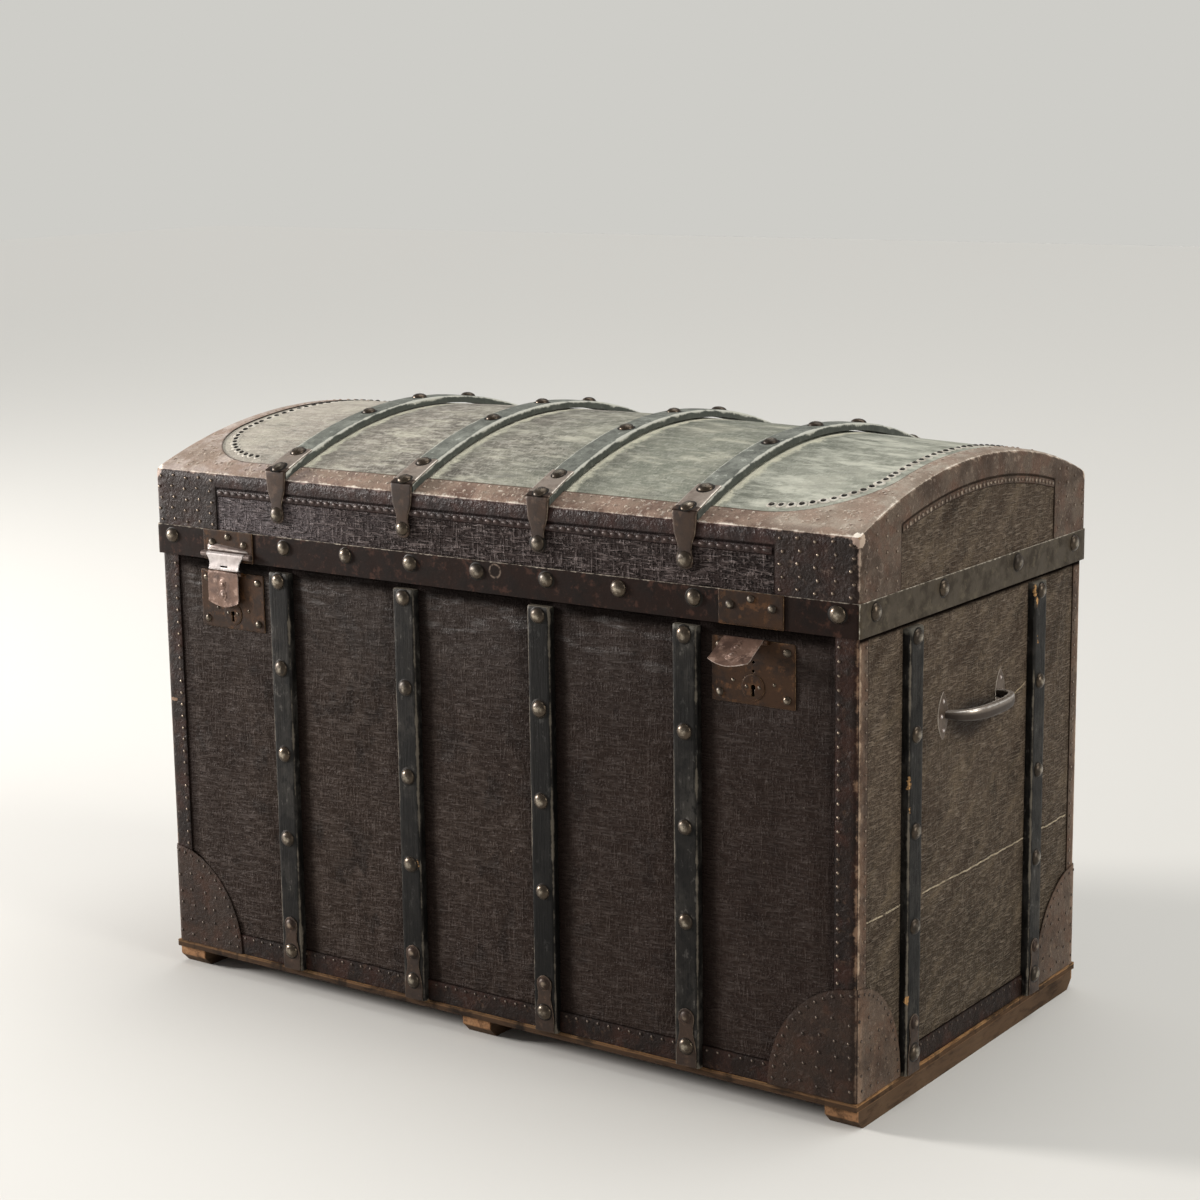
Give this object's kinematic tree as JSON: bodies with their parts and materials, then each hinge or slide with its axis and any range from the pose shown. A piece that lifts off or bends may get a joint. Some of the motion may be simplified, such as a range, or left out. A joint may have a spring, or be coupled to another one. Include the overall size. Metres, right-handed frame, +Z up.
{
  "type": "dome top trunk",
  "caption": "Canvas covered trunk with a hinged domed lid, wooden slats, studded lid band, leather bindings, plate locks and end handles.",
  "frame": {"origin": "on the floor, under the middle of the trunk, at the underside of the middle runner", "axes": "+X along the length towards the right end as seen from the front, -Y out of the front with the locks, +Z up"},
  "size_m": [0.9816, 0.5467, 0.6664],
  "materials": {
    "runner_wood": "worn bare hardwood",
    "base_ply": "raw plywood edge",
    "inner_ply": "plain plywood",
    "body_canvas": "painted canvas, aged and dull",
    "dome_canvas": "painted canvas, faded and rubbed",
    "binding_leather": "hard fibre leather, worn at the edges",
    "slat_paint": "dark paint, worn",
    "band_metal": "lacquered sheet, worn bright at the edge",
    "lock_brass": "tarnished",
    "worn_steel": "plated, rubbed"
  },
  "bodies": {
    "case": {"runner_left": "runner_wood", "runner_middle": "runner_wood", "runner_right": "runner_wood", "base_board": "base_ply", "front_board": "inner_ply", "back_board": "inner_ply", "left_end_board": "inner_ply", "right_end_board": "inner_ply", "body_canvas": "body_canvas", "bottom_binding": "binding_leather", "corner_binding_front_left": "binding_leather", "corner_binding_front_right": "binding_leather", "corner_binding_back_left": "binding_leather", "corner_binding_back_right": "binding_leather", "bottom_cap_front_left": "binding_leather", "bottom_cap_front_right": "binding_leather", "bottom_cap_back_left": "binding_leather", "bottom_cap_back_right": "binding_leather", "front_slat_1": "slat_paint", "front_slat_2": "slat_paint", "front_slat_3": "slat_paint", "front_slat_4": "slat_paint", "back_slat_1": "slat_paint", "back_slat_2": "slat_paint", "back_slat_3": "slat_paint", "back_slat_4": "slat_paint", "left_slat_front": "slat_paint", "left_slat_back": "slat_paint", "right_slat_front": "slat_paint", "right_slat_back": "slat_paint", "lock_left": "lock_brass", "lock_right": "lock_brass", "handle_left": "worn_steel", "handle_right": "worn_steel", "hinge_lower_left": "worn_steel", "hinge_lower_right": "worn_steel", "hinge_pin_left": "worn_steel", "hinge_pin_right": "worn_steel"},
    "lid": {"lid_front_board": "inner_ply", "lid_back_board": "inner_ply", "lid_left_board": "inner_ply", "lid_right_board": "inner_ply", "lid_dome_panel": "inner_ply", "lid_canvas": "dome_canvas", "lid_edge_binding": "binding_leather", "lid_band": "band_metal", "dome_slat_1": "slat_paint", "dome_slat_2": "slat_paint", "dome_slat_3": "slat_paint", "dome_slat_4": "slat_paint", "hinge_upper_left": "worn_steel", "hinge_upper_right": "worn_steel", "hasp_plate_left": "lock_brass", "hasp_plate_right": "lock_brass"},
    "hasp_left": {"hasp_left": "worn_steel"},
    "latch_left": {"latch_left": "lock_brass"},
    "latch_right": {"latch_right": "lock_brass"},
    "bolt_left": {"lock_bolt_left": "worn_steel"},
    "bolt_right": {"lock_bolt_right": "worn_steel"}
  },
  "joints": [
    {"name": "lid_hinge", "type": "hinge", "parent": "case", "child": "lid", "pos_m": [0, 0.2558, 0.504], "axis": [-1, 0, 0], "range_deg": [0, 100]},
    {"name": "hasp_left_hinge", "type": "hinge", "parent": "lid", "child": "hasp_left", "pos_m": [-0.3485, -0.2563, 0.5014], "axis": [-1, 0, 0], "range_deg": [0, 150]},
    {"name": "latch_left_hinge", "type": "hinge", "parent": "case", "child": "latch_left", "pos_m": [-0.3575, -0.2512, 0.48], "axis": [-1, 0, 0], "range_deg": [0, 85]},
    {"name": "latch_right_hinge", "type": "hinge", "parent": "case", "child": "latch_right", "pos_m": [0.3315, -0.2512, 0.48], "axis": [-1, 0, 0], "range_deg": [-56, 50]},
    {"name": "bolt_left_slide", "type": "slide", "parent": "case", "child": "bolt_left", "axis": [1, 0, 0], "range_m": [0, 0.006]},
    {"name": "bolt_right_slide", "type": "slide", "parent": "case", "child": "bolt_right", "axis": [1, 0, 0], "range_m": [0, 0.006]}
  ]
}
